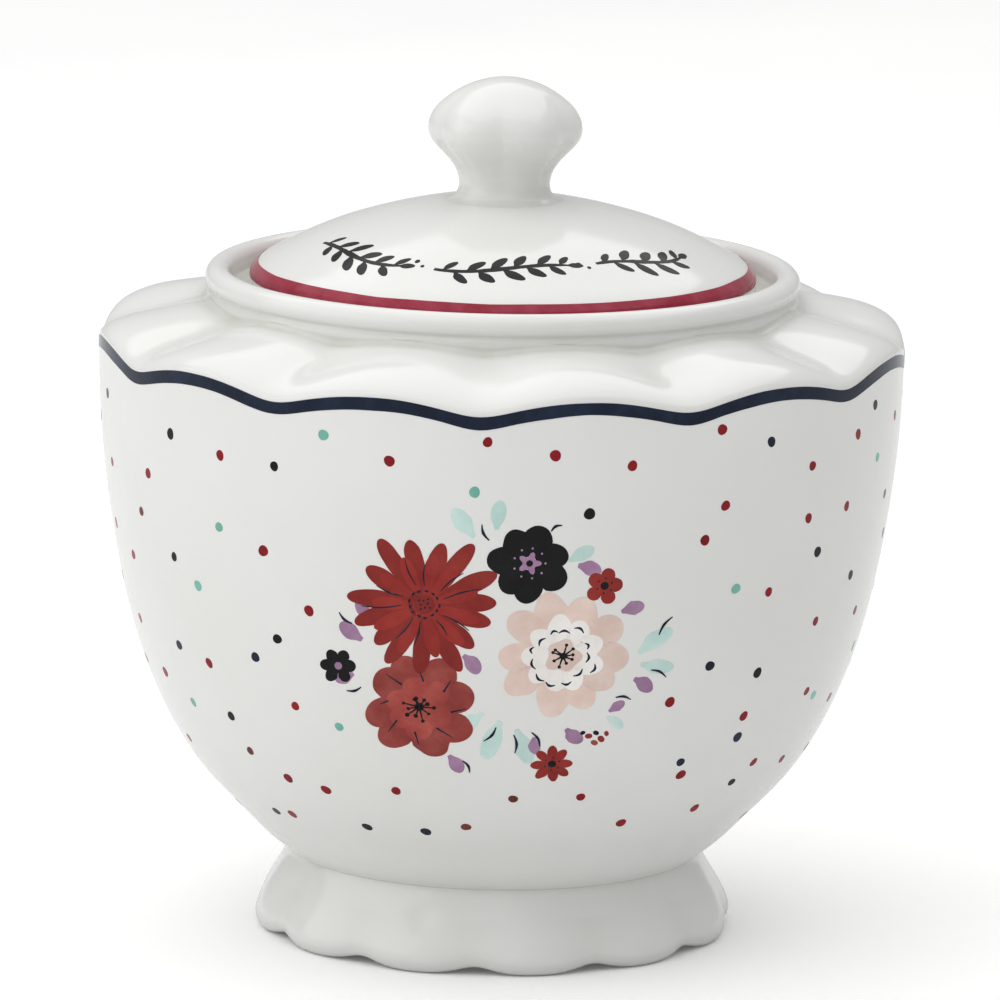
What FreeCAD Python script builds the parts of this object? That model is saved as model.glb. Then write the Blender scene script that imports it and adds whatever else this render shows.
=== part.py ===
import FreeCAD, Part
import math
import os
import time

import Sketcher

V = FreeCAD.Vector
BEGAN = time.time()

os.makedirs("parts", exist_ok=True)
doc = FreeCAD.newDocument("sugar_bowl")

# ---------------------------------------------------------------- dimensions
sheet = doc.addObject("Spreadsheet::Sheet", "Sizes")
ROW = [0]


def cell(alias, value):
    """One plain number with a word alias; returns the expression for it."""
    ROW[0] += 1
    where = "A%d" % ROW[0]
    sheet.set(where, repr(round(float(value), 5)))
    sheet.setAlias(where, alias)
    return "Sizes." + alias


def origin_plane(body, role):
    for item in body.Origin.OriginFeatures:
        if item.Role == role:
            return item
    raise RuntimeError("no " + role)


def new_body(name):
    body = doc.addObject("PartDesign::Body", name)
    body.Label = name
    return body


def new_sketch(body, name, role="XZ_Plane"):
    sk = doc.addObject("Sketcher::SketchObject", name)
    body.addObject(sk)
    sk.AttachmentSupport = [(origin_plane(body, role), "")]
    sk.MapMode = "FlatFace"
    return sk


def arc_through(a, b, c):
    return Part.Arc(V(a[0], a[1], 0), V(b[0], b[1], 0), V(c[0], c[1], 0)).toShape().Curve


def circle_of(a, b, c):
    ax, ay = a
    bx, by = b
    cx, cy = c
    d = 2 * (ax * (by - cy) + bx * (cy - ay) + cx * (ay - by))
    ux = ((ax * ax + ay * ay) * (by - cy) + (bx * bx + by * by) * (cy - ay) + (cx * cx + cy * cy) * (ay - by)) / d
    uy = ((ax * ax + ay * ay) * (cx - bx) + (bx * bx + by * by) * (ax - cx) + (cx * cx + cy * cy) * (bx - ax)) / d
    return ux, uy, math.hypot(ax - ux, ay - uy)


def section(sk, words, steps):
    """Closed outline in a sketch.  words[i] names corner i; steps[i] joins
    corner i to corner i+1: None for a straight edge, one point for an arc
    through it, a list of points for a smooth curve through them all."""
    geo = []
    count = len(words)
    for i in range(count):
        a = words[i][1:]
        b = words[(i + 1) % count][1:]
        via = steps[i]
        if via is None:
            geo.append(Part.LineSegment(V(a[0], a[1], 0), V(b[0], b[1], 0)))
        elif isinstance(via, tuple):
            geo.append(Part.Arc(V(a[0], a[1], 0), V(via[0], via[1], 0), V(b[0], b[1], 0)))
        else:
            curve = Part.BSplineCurve()
            curve.interpolate([V(p[0], p[1], 0) for p in [a] + list(via) + [b]])
            geo.append(curve)
    ids = sk.addGeometry(geo, False)
    ends = []
    for i in range(count):
        # an arc may have been stored the other way round
        a = words[i][1:]
        p = sk.getPoint(i, 1)
        same = math.hypot(p.x - a[0], p.y - a[1]) < 1e-4
        ends.append((1, 2) if same else (2, 1))
    for i in range(count):
        j = (i + 1) % count
        sk.addConstraint(Sketcher.Constraint("Coincident", i, ends[i][1], j, ends[j][0]))
    for i, (word, x, y) in enumerate(words):
        pos = ends[i][0]
        if abs(x) < 1e-9:
            sk.addConstraint(Sketcher.Constraint("PointOnObject", i, pos, -2))
        else:
            n = sk.addConstraint(Sketcher.Constraint("DistanceX", -1, 1, i, pos, x))
            sk.setExpression("Constraints[%d]" % n, cell(word + "_radius", x))
        if abs(y) < 1e-9:
            sk.addConstraint(Sketcher.Constraint("PointOnObject", i, pos, -1))
        else:
            n = sk.addConstraint(Sketcher.Constraint("DistanceY", -1, 1, i, pos, y))
            sk.setExpression("Constraints[%d]" % n, cell(word + "_height", y))
        if isinstance(steps[i], tuple):
            rad = circle_of((x, y), steps[i], words[(i + 1) % count][1:])[2]
            n = sk.addConstraint(Sketcher.Constraint("Radius", i, rad))
            sk.setExpression("Constraints[%d]" % n, cell(word + "_arc", rad))


def revolve(body, name, words, steps):
    sk = new_sketch(body, name + "_section")
    section(sk, words, steps)
    rev = doc.addObject("PartDesign::Revolution", name)
    body.addObject(rev)
    rev.Profile = sk
    rev.ReferenceAxis = (sk, ["V_Axis"])
    rev.Angle = 360
    rev.Refine = False
    body.Tip = rev
    doc.recompute()
    return rev


def pattern(body, name, feature, count, holder):
    pat = doc.addObject("PartDesign::PolarPattern", name)
    body.addObject(pat)
    pat.Originals = [feature]
    pat.Axis = (holder, ["V_Axis"])
    pat.Angle = 360
    pat.Occurrences = count
    pat.Refine = False
    body.Tip = pat
    doc.recompute()
    return pat


def lower(label, before, after, least):
    gone = before - after
    print("%.1f s" % (time.time() - BEGAN))
    print("%-28s removed %10.2f mm3" % (label, gone))
    if gone < least:
        raise RuntimeError(label + " did not cut")


def smooth_through(xs, ys):
    """Natural cubic curve through the table, as a function."""
    n = len(xs)
    gap = [xs[i + 1] - xs[i] for i in range(n - 1)]
    diag, rhs, bend = [1.0] * n, [0.0] * n, [0.0] * n
    upper = [0.0] * n
    for i in range(1, n - 1):
        m = 2 * (gap[i - 1] + gap[i]) - gap[i - 1] * upper[i - 1]
        upper[i] = gap[i] / m
        want = 6 * ((ys[i + 1] - ys[i]) / gap[i] - (ys[i] - ys[i - 1]) / gap[i - 1])
        rhs[i] = (want - gap[i - 1] * rhs[i - 1]) / m
    for i in range(n - 2, 0, -1):
        bend[i] = rhs[i] - upper[i] * bend[i + 1]

    def value(x):
        i = 0
        while i < n - 2 and x > xs[i + 1]:
            i += 1
        g = gap[i]
        p, q = (xs[i + 1] - x) / g, (x - xs[i]) / g
        return p * ys[i] + q * ys[i + 1] + ((p ** 3 - p) * bend[i] + (q ** 3 - q) * bend[i + 1]) * g * g / 6

    return value


LOBES = 12
HALF = math.pi / LOBES
HALF_WORDS = "%.9f deg" % math.degrees(HALF)

# ------------------------------------------------------------------ bowl body
# A round cup on a flat joint face, closed at the top by a gallery for the lid.
# The shoulder is left square here; the twelve lobes are cut from it next.
WALL = [(34.7, 15.0), (38.7, 19.0), (43.5, 24.0), (47.85, 30.0), (51.85, 38.0),
        (55.25, 48.0), (57.45, 58.0), (59.0, 68.0), (59.98, 78.0)]
INNER = [(56.55, 78.2), (55.6, 68.4), (54.1, 58.8), (51.95, 49.2), (48.7, 39.6),
         (44.95, 32.2), (40.8, 26.4), (36.2, 21.6)]

bowl = new_body("bowl_body")
revolve(
    bowl, "cup",
    [("bowl_underside_centre", 0.0, 12.2),
     ("bowl_foot_joint", 31.1, 12.2),
     ("bowl_wall_top", 60.35, 88.0),
     ("shoulder_blank_rim", 60.35, 97.2),
     ("throat_top", 33.8, 97.2),
     ("throat_bottom", 33.8, 94.6),
     ("gallery_under", 36.0, 93.6),
     ("shoulder_under_inner", 44.0, 91.0),
     ("shoulder_under_outer", 53.0, 87.6),
     ("inner_wall_top", 56.9, 83.0),
     ("inner_floor_corner", 31.0, 17.6),
     ("inner_floor_edge", 24.0, 15.6),
     ("inner_floor_centre", 0.0, 15.2)],
    [None, WALL, None, None, None, None, (40.1, 92.45), None, (55.9, 85.7), INNER,
     (27.7, 16.2), None, None],
)

# Shoulder lobes: each is one smooth swell between two soft valleys, the crest
# heights and valley depths following the radius.  The cutter is a loft of
# upright sections, wider and lower towards the rim and past it.
CREST = smooth_through(
    [41.0, 44.2, 48.0, 52.0, 55.0, 57.2, 58.8, 59.8, 60.35, 61.2, 62.5, 65.5],
    [95.9, 95.8, 95.45, 94.8, 94.15, 93.45, 92.7, 91.95, 91.3, 90.1, 88.0, 82.6])
DEPTH = smooth_through([41.0, 44.2, 48.0, 52.0, 56.0, 60.35, 65.5], [0.55, 0.85, 1.45, 1.98, 2.15, 2.1, 2.1])
STATIONS = [41.0, 44.0, 47.5, 51.0, 54.0, 56.0, 57.5, 58.8, 60.0, 61.2, 62.4]
STATION_WORDS = ["collar", "root", "near", "middle", "half", "outer", "turn", "edge", "rim", "past", "beyond"]


def swell(angle):
    """1 on a crest, 0 in a valley."""
    k = 12 * angle
    return (1.237 + 1.014 * math.cos(k) - 0.173 * math.cos(2 * k) + 0.036 * math.cos(3 * k) - 0.014 * math.cos(4 * k)) / 2.1


def shoulder_height(x, d):
    r = math.hypot(x, d)
    return CREST(r) - DEPTH(r) * (1 - swell(math.atan2(x, d)))


SHARE = [-1.0, -0.84, -0.68, -0.5, -0.3, 0.0, 0.3, 0.5, 0.68, 0.84, 1.0]
cut_sections = []
for d, word in zip(STATIONS, STATION_WORDS):
    sk = new_sketch(bowl, "lobe_section_" + word)
    half = d * math.tan(HALF)
    zs = shoulder_height(half, d)
    top = 99.5
    sk.AttachmentOffset = FreeCAD.Placement(V(0, 0, d), FreeCAD.Rotation())
    sk.setExpression(".AttachmentOffset.Base.z", cell("lobe_station_" + word, d))
    curve = Part.BSplineCurve()
    curve.interpolate(Points=[V(half * k, shoulder_height(half * k, d), 0) for k in SHARE], Parameters=SHARE)
    sk.addGeometry([
        curve,
        Part.LineSegment(V(half, zs, 0), V(half, top, 0)),
        Part.LineSegment(V(half, top, 0), V(-half, top, 0)),
        Part.LineSegment(V(-half, top, 0), V(-half, zs, 0)),
    ], False)
    for c in (
        Sketcher.Constraint("Coincident", 0, 2, 1, 1),
        Sketcher.Constraint("Coincident", 1, 2, 2, 1),
        Sketcher.Constraint("Coincident", 2, 2, 3, 1),
        Sketcher.Constraint("Coincident", 3, 2, 0, 1),
        Sketcher.Constraint("Vertical", 1),
        Sketcher.Constraint("Vertical", 3),
        Sketcher.Constraint("Horizontal", 2),
        Sketcher.Constraint("Symmetric", 0, 1, 0, 2, -2),
    ):
        sk.addConstraint(c)
    n = sk.addConstraint(Sketcher.Constraint("DistanceX", -1, 1, 1, 1, half))
    sk.setExpression("Constraints[%d]" % n, "Sizes.lobe_station_%s * tan(%s)" % (word, HALF_WORDS))
    n = sk.addConstraint(Sketcher.Constraint("DistanceY", -1, 1, 1, 1, zs))
    sk.setExpression("Constraints[%d]" % n, cell("lobe_valley_height_" + word, zs))
    n = sk.addConstraint(Sketcher.Constraint("DistanceY", -1, 1, 2, 1, top))
    sk.setExpression("Constraints[%d]" % n, cell("lobe_top_" + word, top))
    cut_sections.append(sk)
doc.recompute()

before = bowl.Shape.Volume
lobe = doc.addObject("PartDesign::SubtractiveLoft", "shoulder_lobe")
bowl.addObject(lobe)
lobe.Profile = cut_sections[0]
lobe.Sections = cut_sections[1:]
lobe.Ruled = False
lobe.Refine = False
bowl.Tip = lobe
doc.recompute()
lower("one shoulder lobe", before, bowl.Shape.Volume, 50)
before = bowl.Shape.Volume
pattern(bowl, "shoulder_lobes", lobe, LOBES, doc.getObject("cup_section"))
lower("twelve shoulder lobes", before, bowl.Shape.Volume, 600)

# Collar with its rolled rim, standing on the shoulder around the gallery.
revolve(
    bowl, "collar",
    [("collar_inner_foot", 40.7, 97.0),
     ("collar_inner_top", 40.75, 98.6),
     ("collar_bead_under", 43.75, 97.35),
     ("collar_waist", 44.15, 96.6),
     ("collar_foot", 44.2, 93.9),
     ("collar_root", 41.5, 93.9)],
    [None, [(40.814, 99.376), (41.188, 100.059), (41.807, 100.531), (42.565, 100.711),
            (43.33, 100.567), (43.971, 100.125), (44.377, 99.46), (44.477, 98.688),
            (44.256, 97.942)], None, None, None, None],
)
bowl.Placement = FreeCAD.Placement(V(0, 0, 0), FreeCAD.Rotation(V(0, 0, 1), math.degrees(HALF)))

# ----------------------------------------------------------------------- foot
# A hollow flared ring; the outside is cut to twelve soft lobes and the rim is
# lifted between them so that the ring stands on the lobes.
foot = new_body("foot")
revolve(
    foot, "ring",
    [("foot_inner_bottom", 32.6, 0.0),
     ("foot_blank_bottom", 37.5, 0.0),
     ("foot_blank_top", 37.5, 12.2),
     ("foot_inner_top", 27.4, 12.2),
     ("foot_inner_shoulder", 28.6, 8.6)],
    [None, None, None, None, (30.1, 4.0)],
)
FOOT = [("below", -1.0, 34.7, 34.1), ("sole", 0.0, 35.3, 34.6), ("rim", 1.6, 36.1, 35.2),
        ("flare", 3.6, 35.85, 35.0), ("waist", 6.8, 34.2, 33.65), ("neck", 9.8, 32.35, 32.1),
        ("joint", 12.2, 31.1, 31.1), ("above", 13.4, 30.75, 30.75)]
foot_sections = []
for word, z, crest, crease in FOOT:
    sk = new_sketch(foot, "foot_section_" + word, "XY_Plane")
    sk.AttachmentOffset = FreeCAD.Placement(V(0, 0, z), FreeCAD.Rotation())
    sk.setExpression(".AttachmentOffset.Base.z", cell("foot_station_" + word, z))
    sx, sy = crease * math.sin(HALF), -crease * math.cos(HALF)
    ox, oy = 39.5 * math.sin(HALF), -39.5 * math.cos(HALF)
    sk.addGeometry([
        Part.Arc(V(-sx, sy, 0), V(0, -crest, 0), V(sx, sy, 0)),
        Part.LineSegment(V(sx, sy, 0), V(ox, oy, 0)),
        Part.LineSegment(V(ox, oy, 0), V(-ox, oy, 0)),
        Part.LineSegment(V(-ox, oy, 0), V(-sx, sy, 0)),
    ], False)
    p = sk.getPoint(0, 1)
    left, right = (1, 2) if p.x < 0 else (2, 1)
    for c in (
        Sketcher.Constraint("Coincident", 0, right, 1, 1),
        Sketcher.Constraint("Coincident", 1, 2, 2, 1),
        Sketcher.Constraint("Coincident", 2, 2, 3, 1),
        Sketcher.Constraint("Coincident", 3, 2, 0, left),
        Sketcher.Constraint("Symmetric", 0, left, 0, right, -2),
        Sketcher.Constraint("Symmetric", 2, 1, 2, 2, -2),
    ):
        sk.addConstraint(c)
    cell("foot_crease_" + word, crease)
    n = sk.addConstraint(Sketcher.Constraint("DistanceX", -1, 1, 1, 1, sx))
    sk.setExpression("Constraints[%d]" % n, "Sizes.foot_crease_%s * sin(%s)" % (word, HALF_WORDS))
    n = sk.addConstraint(Sketcher.Constraint("DistanceY", 1, 1, -1, 1, -sy))
    sk.setExpression("Constraints[%d]" % n, "Sizes.foot_crease_%s * cos(%s)" % (word, HALF_WORDS))
    rad = circle_of((-sx, sy), (0, -crest), (sx, sy))[2]
    n = sk.addConstraint(Sketcher.Constraint("Radius", 0, rad))
    sk.setExpression("Constraints[%d]" % n, cell("foot_lobe_" + word, rad))
    n = sk.addConstraint(Sketcher.Constraint("DistanceX", -1, 1, 1, 2, ox))
    sk.setExpression("Constraints[%d]" % n, "%.9f mm" % ox)
    n = sk.addConstraint(Sketcher.Constraint("DistanceY", 1, 2, -1, 1, -oy))
    sk.setExpression("Constraints[%d]" % n, "%.9f mm" % -oy)
    foot_sections.append(sk)
doc.recompute()
before = foot.Shape.Volume
flute = doc.addObject("PartDesign::SubtractiveLoft", "foot_lobe")
foot.addObject(flute)
flute.Profile = foot_sections[0]
flute.Sections = foot_sections[1:]
flute.Ruled = False
flute.Refine = False
foot.Tip = flute
doc.recompute()
lower("one foot lobe", before, foot.Shape.Volume, 20)
before = foot.Shape.Volume
axis_holder = new_sketch(foot, "arch_section")
arch_half, arch_rise = 7.5, 1.2
a0 = HALF  # arches sit on the creases, which lie half a lobe round
axis_holder.AttachmentOffset = FreeCAD.Placement(V(0, 0, 0), FreeCAD.Rotation())
pattern(foot, "foot_lobes", flute, LOBES, axis_holder)
lower("twelve foot lobes", before, foot.Shape.Volume, 200)

sk = axis_holder
sk.AttachmentOffset = FreeCAD.Placement(V(0, 0, 0), FreeCAD.Rotation(V(0, 1, 0), math.degrees(HALF)))
sk.addGeometry([
    Part.Arc(V(-arch_half, -0.3, 0), V(0, arch_rise, 0), V(arch_half, -0.3, 0)),
    Part.LineSegment(V(arch_half, -0.3, 0), V(-arch_half, -0.3, 0)),
], False)
p = sk.getPoint(0, 1)
left, right = (1, 2) if p.x < 0 else (2, 1)
for c in (
    Sketcher.Constraint("Coincident", 0, right, 1, 1),
    Sketcher.Constraint("Coincident", 1, 2, 0, left),
    Sketcher.Constraint("Symmetric", 0, left, 0, right, -2),
):
    sk.addConstraint(c)
n = sk.addConstraint(Sketcher.Constraint("DistanceX", -1, 1, 1, 1, arch_half))
sk.setExpression("Constraints[%d]" % n, cell("arch_half_width", arch_half))
n = sk.addConstraint(Sketcher.Constraint("DistanceY", 1, 1, -1, 1, 0.3))
sk.setExpression("Constraints[%d]" % n, cell("arch_overcut", 0.3))
rad = circle_of((-arch_half, -0.3), (0, arch_rise), (arch_half, -0.3))[2]
n = sk.addConstraint(Sketcher.Constraint("Radius", 0, rad))
sk.setExpression("Constraints[%d]" % n, cell("arch_curve", rad))
doc.recompute()
before = foot.Shape.Volume
arch = doc.addObject("PartDesign::Pocket", "rim_arch")
foot.addObject(arch)
arch.Profile = sk
arch.Type = 0
arch.Refine = False
arch.Length = 42
arch.setExpression("Length", cell("arch_reach", 42.0))
arch.Reversed = True
foot.Tip = arch
doc.recompute()
if before - foot.Shape.Volume < 5:
    arch.Reversed = False
    doc.recompute()
lower("one rim arch", before, foot.Shape.Volume, 5)
before = foot.Shape.Volume
pattern(foot, "rim_arches", arch, LOBES, sk)
lower("twelve rim arches", before, foot.Shape.Volume, 50)
foot.Placement = FreeCAD.Placement(V(0, 0, 0), FreeCAD.Rotation(V(0, 0, 1), math.degrees(HALF)))

# ------------------------------------------------------------------------ lid
# A hollow dome that rests on the gallery, with a locating ring below.
lid = new_body("lid")
revolve(
    lid, "dome",
    [("lid_pad_centre", 0.0, 111.0),
     ("lid_pad_edge", 7.3, 111.0),
     ("lid_dome_edge", 37.6, 100.1),
     ("lid_edge_upper", 37.85, 99.4),
     ("lid_edge_lower", 37.85, 98.1),
     ("lid_seat_outer", 36.9, 97.2),
     ("lid_ring_root", 33.3, 97.2),
     ("lid_ring_outer", 32.8, 96.2),
     ("lid_ring_tip_outer", 32.5, 92.2),
     ("lid_ring_tip_inner", 30.2, 92.2),
     ("lid_inner_corner", 29.6, 98.6),
     ("lid_inner_centre", 0.0, 107.6)],
    [None, [(13.0, 110.12), (21.0, 108.1), (29.0, 105.2), (34.3, 102.5)], (37.8, 99.8), None,
     (37.55, 97.5), None, (33.02, 96.8), None, (31.35, 91.5), None,
     [(27.0, 101.6), (21.0, 104.35), (11.0, 106.9)], None],
)

# ----------------------------------------------------------------------- knob
# A turned mushroom knob with six soft lobes round its cap.
knob = new_body("lid_knob")
revolve(
    knob, "turned_knob",
    [("knob_seat_centre", 0.0, 111.0),
     ("knob_seat_edge", 7.3, 111.0),
     ("knob_neck", 6.72, 112.9),
     ("knob_under_cap", 9.4, 117.35),
     ("knob_cap_side", 10.75, 124.0),
     ("knob_top", 0.0, 129.2)],
    [None, (6.82, 111.9), (7.35, 115.2), (11.6, 120.6), [(9.3, 125.6), (6.9, 127.3), (4.1, 128.5), (1.9, 129.05)], None],
)
sk = new_sketch(knob, "knob_groove_section", "XY_Plane")
# each ring-shaped groove crosses the cap on both sides, so three make six
groove_level, groove_ring, groove_radius = 119.0, 11.0, 8.0
centre = groove_ring + groove_radius
sk.AttachmentOffset = FreeCAD.Placement(V(0, 0, groove_level), FreeCAD.Rotation())
sk.setExpression(".AttachmentOffset.Base.z", cell("knob_groove_level", groove_level))
sk.addGeometry([
    Part.Circle(V(0, -centre, 0), V(0, 0, 1), groove_radius),
], False)
sk.addConstraint(Sketcher.Constraint("PointOnObject", 0, 3, -2))
n = sk.addConstraint(Sketcher.Constraint("DistanceY", 0, 3, -1, 1, centre))
sk.setExpression("Constraints[%d]" % n, cell("knob_groove_centre", centre))
n = sk.addConstraint(Sketcher.Constraint("Radius", 0, groove_radius))
sk.setExpression("Constraints[%d]" % n, cell("knob_groove_round", groove_radius))
doc.recompute()
before = knob.Shape.Volume
groove = doc.addObject("PartDesign::Groove", "knob_groove")
knob.addObject(groove)
groove.Profile = sk
groove.ReferenceAxis = (sk, ["H_Axis"])
groove.Angle = 360
groove.Refine = False
knob.Tip = groove
doc.recompute()
lower("one pair of knob grooves", before, knob.Shape.Volume, 2)
before = knob.Shape.Volume
holder = doc.getObject("turned_knob_section")
grooves = pattern(knob, "knob_grooves", groove, 3, holder)
grooves.Angle = 120
doc.recompute()
lower("six knob grooves", before, knob.Shape.Volume, 10)

# -------------------------------------------------------------- final reports
doc.recompute()
for obj in doc.Objects:
    if "Invalid" in obj.State or "Error" in obj.State:
        raise RuntimeError("%s is %s" % (obj.Name, obj.State))
for body in (bowl, foot, lid, knob):
    shape = body.Shape
    if shape.isNull() or not shape.isValid() or len(shape.Solids) != 1:
        raise RuntimeError("%s: bad shape, %d solids" % (body.Label, len(shape.Solids)))
    box = shape.BoundBox
    print("%-10s vol %9.1f  faces %4d  x %.2f..%.2f y %.2f..%.2f z %.2f..%.2f" % (
        body.Label, shape.Volume, len(shape.Faces), box.XMin, box.XMax, box.YMin, box.YMax, box.ZMin, box.ZMax))
    shape.exportStep("parts/%s.step" % body.Label)
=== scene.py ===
import math

import bpy
import numpy as np
from mathutils import Matrix, Vector


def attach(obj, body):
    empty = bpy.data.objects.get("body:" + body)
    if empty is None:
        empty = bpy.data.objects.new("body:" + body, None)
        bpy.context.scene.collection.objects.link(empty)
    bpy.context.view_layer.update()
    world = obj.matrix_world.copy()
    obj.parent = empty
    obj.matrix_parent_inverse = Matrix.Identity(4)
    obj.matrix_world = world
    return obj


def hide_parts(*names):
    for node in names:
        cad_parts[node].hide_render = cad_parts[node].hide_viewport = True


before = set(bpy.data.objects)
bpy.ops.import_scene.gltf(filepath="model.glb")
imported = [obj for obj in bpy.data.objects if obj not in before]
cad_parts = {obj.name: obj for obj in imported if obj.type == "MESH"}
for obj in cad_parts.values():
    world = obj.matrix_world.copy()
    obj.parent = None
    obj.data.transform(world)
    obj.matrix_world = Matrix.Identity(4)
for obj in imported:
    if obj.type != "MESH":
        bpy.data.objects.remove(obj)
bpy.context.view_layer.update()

MM = 0.001
LOBES = 12
HALF = math.pi / LOBES


# ------------------------------------------------------------------ small maths
class Spline:
    """Natural cubic spline through points."""

    def __init__(self, xs, ys):
        self.x = np.array(xs, float)
        self.y = np.array(ys, float)
        n = len(self.x)
        h = np.diff(self.x)
        a = np.zeros((n, n))
        b = np.zeros(n)
        a[0, 0] = a[-1, -1] = 1
        for i in range(1, n - 1):
            a[i, i - 1], a[i, i], a[i, i + 1] = h[i - 1], 2 * (h[i - 1] + h[i]), h[i]
            b[i] = 6 * ((self.y[i + 1] - self.y[i]) / h[i] - (self.y[i] - self.y[i - 1]) / h[i - 1])
        self.m = np.linalg.solve(a, b)
        self.h = h

    def __call__(self, q):
        q = np.asarray(q, float)
        i = np.clip(np.searchsorted(self.x, q) - 1, 0, len(self.h) - 1)
        h, x0, x1 = self.h[i], self.x[i], self.x[i + 1]
        A, B = (x1 - q) / h, (q - x0) / h
        return A * self.y[i] + B * self.y[i + 1] + ((A ** 3 - A) * self.m[i] + (B ** 3 - B) * self.m[i + 1]) * h * h / 6


def smooth(x):
    x = np.clip(x, 0, 1)
    return x * x * (3 - 2 * x)


def circle3(a, b, c):
    ax, ay, bx, by, cx, cy = *a, *b, *c
    d = 2 * (ax * (by - cy) + bx * (cy - ay) + cx * (ay - by))
    ux = ((ax * ax + ay * ay) * (by - cy) + (bx * bx + by * by) * (cy - ay) + (cx * cx + cy * cy) * (ay - by)) / d
    uy = ((ax * ax + ay * ay) * (cx - bx) + (bx * bx + by * by) * (ax - cx) + (cx * cx + cy * cy) * (bx - ax)) / d
    return ux, uy, math.hypot(ax - ux, ay - uy)


def arc3(a, b, c, n):
    """n points from a to c on the arc through b, both ends left out."""
    ux, uy, r = circle3(a, b, c)
    ta, tb, tc = (math.atan2(p[1] - uy, p[0] - ux) for p in (a, b, c))
    two = 2 * math.pi
    if (tb - ta) % two < (tc - ta) % two:
        sweep = (tc - ta) % two
    else:
        sweep = -((ta - tc) % two)
    return [(ux + r * math.cos(ta + sweep * k / (n + 1)), uy + r * math.sin(ta + sweep * k / (n + 1))) for k in range(1, n + 1)]


# ------------------------------------------------------- profiles, as in the CAD
JOINT = 12.2
WALL_Z = [JOINT, 15, 19, 24, 30, 38, 48, 58, 68, 78, 88]
WALL_R = [31.1, 34.7, 38.7, 43.5, 47.85, 51.85, 55.25, 57.45, 59.0, 59.98, 60.35]
wall_spline = Spline(WALL_Z, WALL_R)
SKIN = 0.07  # the glaze is drawn this far inside the CAD wall, so printed colour stays within it
RIM = 60.35 - SKIN


def wall_r(z):
    z = np.asarray(z, float)
    seam = 0.14 * np.clip(1 - (z - JOINT) / 0.9, 0, 1) ** 2
    return np.where(z > 88, 60.35, wall_spline(np.clip(z, JOINT, 88))) - SKIN * smooth((z - JOINT) / 6) + seam


CREST = Spline([41.0, 44.2, 48.0, 52.0, 55.0, 57.2, 58.8, 59.8, 60.35, 61.2, 62.5, 65.5],
               [95.9, 95.8, 95.45, 94.8, 94.15, 93.45, 92.7, 91.95, 91.3, 90.1, 88.0, 82.6])
DEPTH = Spline([41.0, 44.2, 48.0, 52.0, 56.0, 60.35, 65.5], [0.55, 0.85, 1.45, 1.98, 2.15, 2.1, 2.1])


def swell(phi):
    """1 on a crest, 0 in a valley."""
    k = 12 * np.asarray(phi)
    return (1.237 - 1.014 * np.cos(k) - 0.173 * np.cos(2 * k) - 0.036 * np.cos(3 * k) - 0.014 * np.cos(4 * k)) / 2.1


def shoulder_z(r, phi):
    r = np.asarray(r, float)
    return CREST(r) - DEPTH(r) * (1 - swell(phi))


# --------------------------------------------------------------- mesh building
def make_mesh(name, verts, faces, material, attrs=None, normals=None):
    mesh = bpy.data.meshes.new(name)
    mesh.from_pydata([tuple(v) for v in verts], [], faces)
    mesh.update()
    mesh.polygons.foreach_set("use_smooth", [True] * len(mesh.polygons))
    for key, values in (attrs or {}).items():
        at = mesh.attributes.new(key, "FLOAT", "POINT")
        at.data.foreach_set("value", np.asarray(values, np.float32))
    obj = bpy.data.objects.new(name, mesh)
    bpy.context.scene.collection.objects.link(obj)
    mesh.materials.append(material)
    if normals is not None:
        # printed colour has no relief of its own: it shines with the glaze below it
        mesh.normals_split_custom_set_from_vertices([tuple(v) for v in normals])
    return obj


def revolve_rows(name, rows, phi, material, first_pole=None, last_pole=None, attr_rows=None, flip=False, lean=None):
    """rows: list of (r, z) arrays in mm, one value per column.  Closed all round;
    a pole is a height in mm on the axis that closes that end."""
    n = len(phi)
    s, c = np.sin(phi), -np.cos(phi)
    verts, pool_and_shade = [], []
    for i, (r, z) in enumerate(rows):
        r = np.broadcast_to(np.asarray(r, float), (n,))
        z = np.broadcast_to(np.asarray(z, float), (n,))
        verts.append(np.stack([r * s, r * c, z], 1))
        pool_and_shade.append(np.broadcast_to(attr_rows[i] if attr_rows is not None else 0.0, (n,)))
    V = np.concatenate(verts) * MM
    pool_and_shade = np.concatenate(pool_and_shade)
    faces = []
    idx = np.arange(n)
    nxt = (idx + 1) % n
    for i in range(len(rows) - 1):
        a, b = i * n + idx, i * n + nxt
        d, e = (i + 1) * n + idx, (i + 1) * n + nxt
        faces.extend(np.stack([a, b, e, d], 1).tolist())
    extra = []
    if first_pole is not None:
        extra.append((0, 0, first_pole * MM))
        p = len(V)
        faces.extend(np.stack([np.full(n, p), nxt, idx], 1).tolist())
    if last_pole is not None:
        p = len(V) + len(extra)
        extra.append((0, 0, last_pole * MM))
        base = (len(rows) - 1) * n
        faces.extend(np.stack([np.full(n, p), base + idx, base + nxt], 1).tolist())
    if extra:
        V = np.concatenate([V, np.array(extra, float)])
        pool_and_shade = np.concatenate([pool_and_shade, np.zeros(len(extra))])
    if flip:
        faces = [f[::-1] for f in faces]
    normals = None
    if lean is not None:  # (radial, upward) parts of the normal, one pair per row
        normals = np.concatenate([np.stack([nr * s, nr * c, nz + 0 * s], 1) for nr, nz in lean])
    # the per-vertex weight of the greyer tint: glaze pooling plus painted shade in creases, seams and hollows
    return make_mesh(name, V, faces, material, {"pool_and_shade": pool_and_shade}, normals)


def joined(pts):
    """Spaces a polyline's long straight runs with support points near both ends."""
    out = [pts[0]]
    for a, b in zip(pts[:-1], pts[1:]):
        length = math.hypot(b[0] - a[0], b[1] - a[1])
        if length > 1.2:
            t = 0.25 / length
            steps = max(2, int(length / 2.2))
            for k in [t] + [j / steps for j in range(1, steps)] + [1 - t]:
                out.append((a[0] + (b[0] - a[0]) * k, a[1] + (b[1] - a[1]) * k))
        out.append(b)
    return out


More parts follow.
